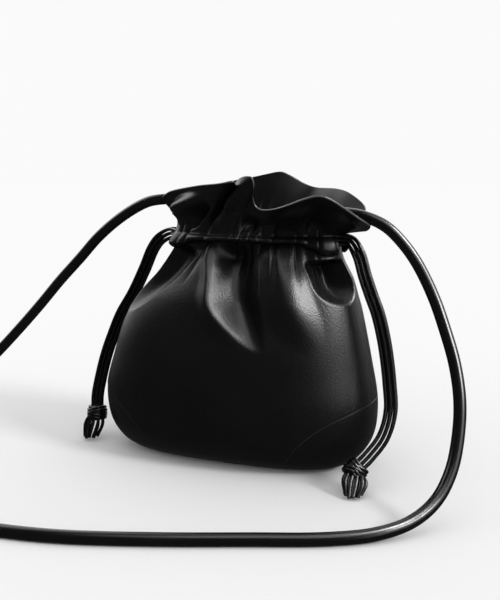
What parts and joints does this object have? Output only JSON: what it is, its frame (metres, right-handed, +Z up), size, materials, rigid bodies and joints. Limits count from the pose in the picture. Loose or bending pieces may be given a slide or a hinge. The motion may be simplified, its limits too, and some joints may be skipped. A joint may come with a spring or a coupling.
{
  "type": "drawstring shoulder bag",
  "caption": "Small soft leather pouch bag with a ruffled collar gathered by side drawstrings, a wrapped base panel and a round shoulder strap lying in a loop.",
  "frame": {"origin": "on the floor under the middle of the bag's own box, without its strap and drawstrings", "axes": "+X along the bag's width to its right, +Y to its back, +Z up; the front faces -Y"},
  "size_m": [0.4518, 0.2475, 0.2081],
  "materials": {
    "body_leather": "soft black nappa with fine grain and a satin sheen",
    "base_leather": "soft black nappa, a little flatter and rubbed at its edge",
    "collar_leather": "soft black nappa with a turned edge, satin",
    "casing_leather": "soft black nappa, finely gathered",
    "strap_leather": "smooth black rolled leather, semi-gloss",
    "cord_leather": "thin black rolled leather cord, satin"
  },
  "bodies": {
    "root": {"front_panel": "body_leather", "back_panel": "body_leather", "base_panel": "base_leather", "front_collar": "collar_leather", "back_collar": "collar_leather", "front_casing": "casing_leather", "back_casing": "casing_leather", "strap": "strap_leather", "strap_stop": "strap_leather", "left_strand_1": "cord_leather", "left_strand_2": "cord_leather", "left_strand_3": "cord_leather", "left_strand_4": "cord_leather", "left_strand_5": "cord_leather", "left_strand_6": "cord_leather", "left_knot": "cord_leather", "right_strand_1": "cord_leather", "right_strand_2": "cord_leather", "right_strand_3": "cord_leather", "right_strand_4": "cord_leather", "right_strand_5": "cord_leather", "right_strand_6": "cord_leather", "right_knot": "cord_leather"}
  },
  "joints": []
}
